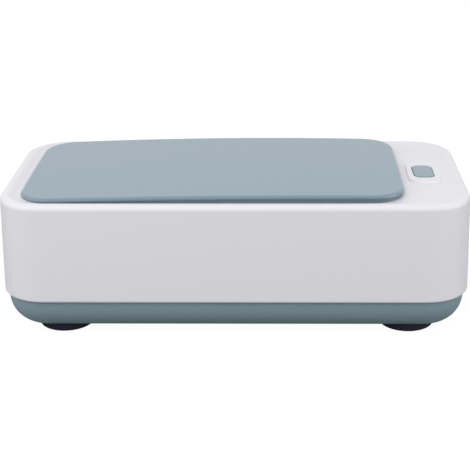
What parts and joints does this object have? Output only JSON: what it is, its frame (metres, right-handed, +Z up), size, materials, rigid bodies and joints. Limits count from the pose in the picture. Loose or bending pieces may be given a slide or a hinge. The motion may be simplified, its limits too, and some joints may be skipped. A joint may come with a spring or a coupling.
{
  "type": "portable ultrasonic cleaner",
  "caption": "Long low tabletop ultrasonic cleaner: white housing with a stainless tank under a lift-off grey-blue lid, a push button at one end and a dark base on rubber feet.",
  "frame": {"origin": "centre of the overall box, at the level of the feet's undersides", "axes": "+X along the length towards the button end, +Y to the back wall with the power socket, +Z up"},
  "size_m": [0.207, 0.1, 0.0652],
  "materials": {
    "white_abs": "satin moulded, light edge-textured white",
    "grey_blue_lid": "satin moulded grey-blue",
    "grey_blue_base": "fine matt texture, grey-blue",
    "stainless": "bright drawn stainless",
    "silicone": "soft translucent white",
    "foot_rubber": "matt black-blue",
    "epoxy": "cured glue",
    "piezo": "silvered ceramic, modelled as matt",
    "screw_steel": "zinc-plated steel",
    "board": "green solder mask",
    "ferrite": "dark sintered ferrite",
    "coil": "yellow-taped copper coil",
    "film_case": "dipped capacitor box",
    "can": "sleeved aluminium can",
    "sink": "extruded aluminium",
    "package": "black moulded package",
    "socket": "black moulded body with metal contact",
    "nut": "plated nut",
    "plunger": "dark acetal",
    "red_wire": "red insulation",
    "black_wire": "black insulation",
    "white_wire": "white insulation",
    "blue_wire": "blue insulation"
  },
  "bodies": {
    "case": {"housing": "white_abs", "tank": "stainless", "tank_gasket": "silicone", "transducer_bond": "epoxy", "piezo_disc": "piezo", "base_tray": "grey_blue_base", "front_left_foot": "foot_rubber", "front_right_foot": "foot_rubber", "back_left_foot": "foot_rubber", "back_right_foot": "foot_rubber", "case_screws": "screw_steel", "main_board": "board", "board_screws": "screw_steel", "transformer_core": "ferrite", "transformer_winding": "coil", "choke": "coil", "film_capacitor": "film_case", "filter_capacitors": "can", "heat_sink": "sink", "power_transistor": "package", "heat_sink_screw": "screw_steel", "control_chip": "package", "chip_resistors": "package", "power_socket": "socket", "socket_nut": "nut", "switch_board": "board", "switch_board_screws": "screw_steel", "tactile_switch": "package", "piezo_lead_red": "red_wire", "piezo_lead_black": "black_wire", "switch_lead_white": "white_wire", "switch_lead_blue": "blue_wire", "socket_lead_red": "red_wire", "socket_lead_black": "black_wire"},
    "lid": {"lid": "grey_blue_lid"},
    "button": {"button_cap": "grey_blue_lid", "switch_plunger": "plunger"}
  },
  "joints": [
    {"name": "lid_lift", "type": "slide", "parent": "case", "child": "lid", "axis": [0, 0, 1], "range_m": [0, 0.08]},
    {"name": "button_press", "type": "slide", "parent": "case", "child": "button", "axis": [0, 0, -1], "range_m": [0, 0.0005], "stiffness_N_per_m": 4000, "springref_m": -0.0001}
  ]
}
